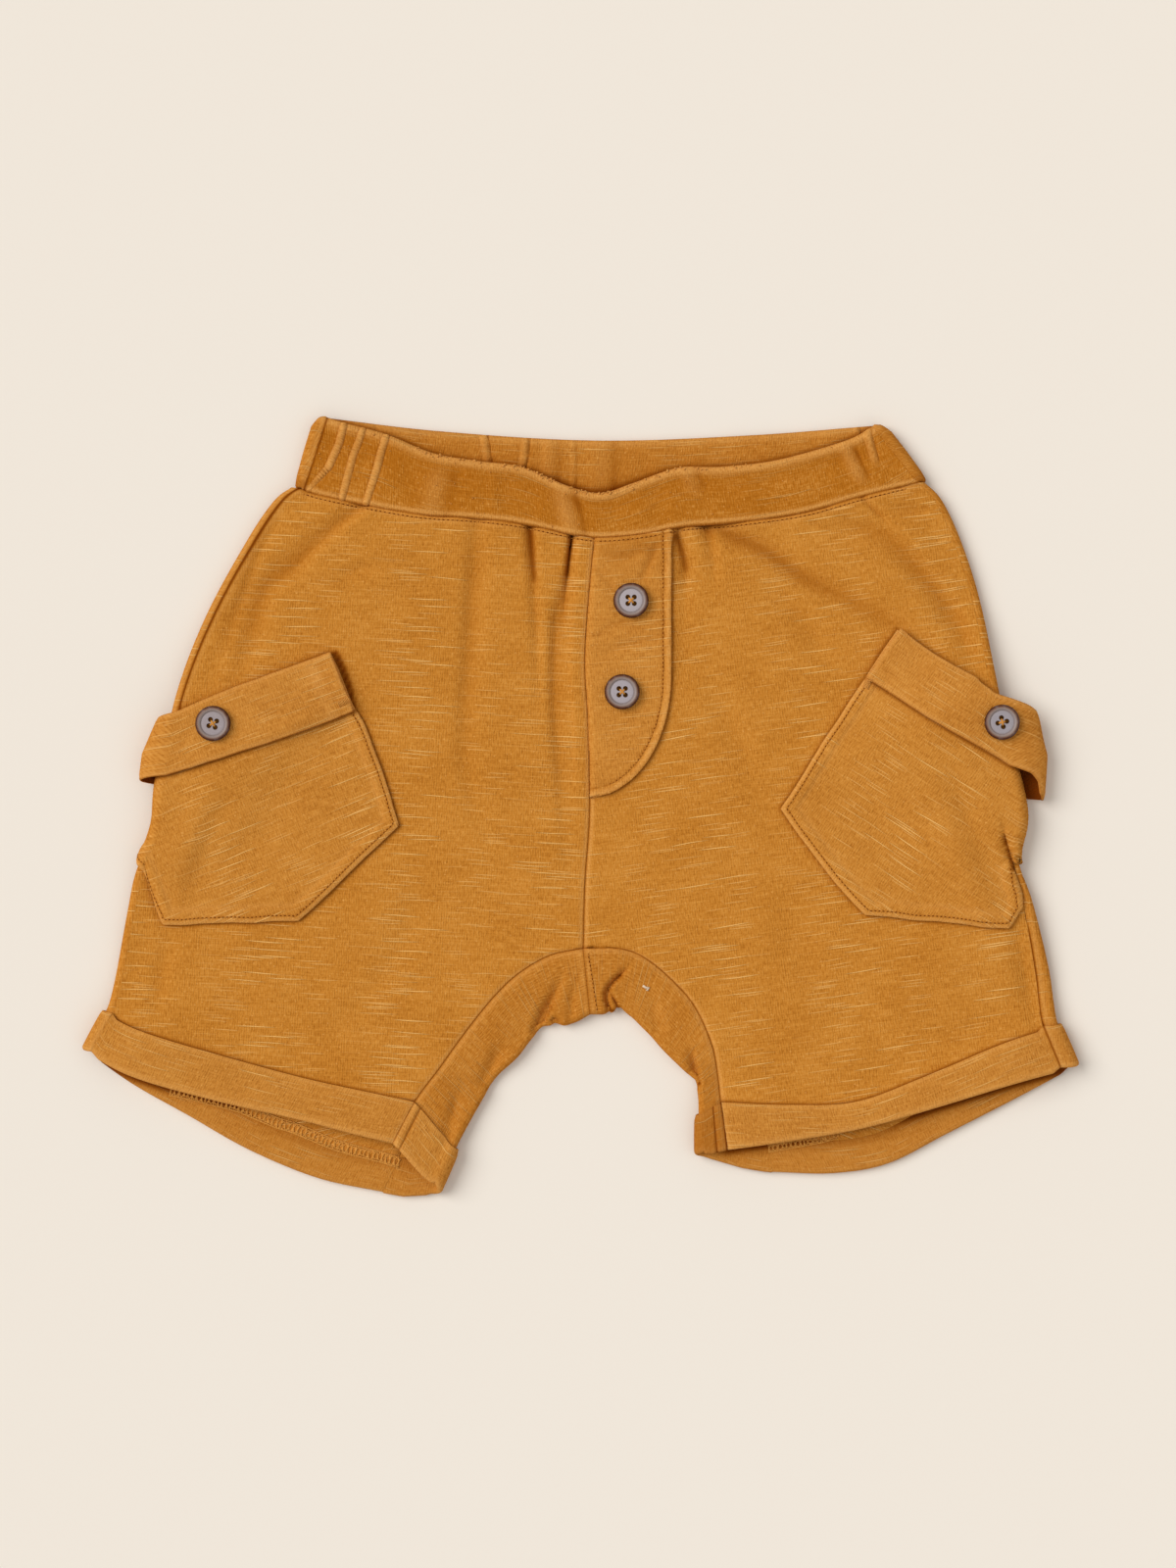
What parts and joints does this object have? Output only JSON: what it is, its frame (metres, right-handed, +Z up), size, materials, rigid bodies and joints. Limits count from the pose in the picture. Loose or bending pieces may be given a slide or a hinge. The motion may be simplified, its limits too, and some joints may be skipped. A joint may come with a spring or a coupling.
{
  "type": "baby shorts",
  "caption": "Baby shorts in slub jersey laid flat, with an elastic waistband, mock fly, wrapped patch pockets with turned-down bands, and turned-up cuffs.",
  "frame": {"origin": "centre of the bounding box's base, on the floor that the shorts lie on", "axes": "+Z up out of the front of the shorts, +Y towards the waist, +X to the right as seen from above"},
  "size_m": [0.3258, 0.254, 0.0142],
  "materials": {
    "jersey": "mustard cotton slub jersey, dry and slightly brushed",
    "button": "satin taupe resin with a darker rim"
  },
  "bodies": {
    "root": {"waistband_front": "jersey", "waistband_back": "jersey", "front_left": "jersey", "front_right": "jersey", "back_left": "jersey", "back_right": "jersey", "inner_leg_left": "jersey", "inner_leg_right": "jersey", "fly": "jersey", "pocket_left": "jersey", "pocket_right": "jersey", "pocket_band_left": "jersey", "pocket_band_right": "jersey", "cuff_left_front": "jersey", "cuff_left_back": "jersey", "cuff_left_inner": "jersey", "cuff_right_front": "jersey", "cuff_right_back": "jersey", "cuff_right_inner": "jersey", "button_fly_top": "button", "button_fly_bottom": "button", "button_pocket_left": "button", "button_pocket_right": "button"}
  },
  "joints": []
}
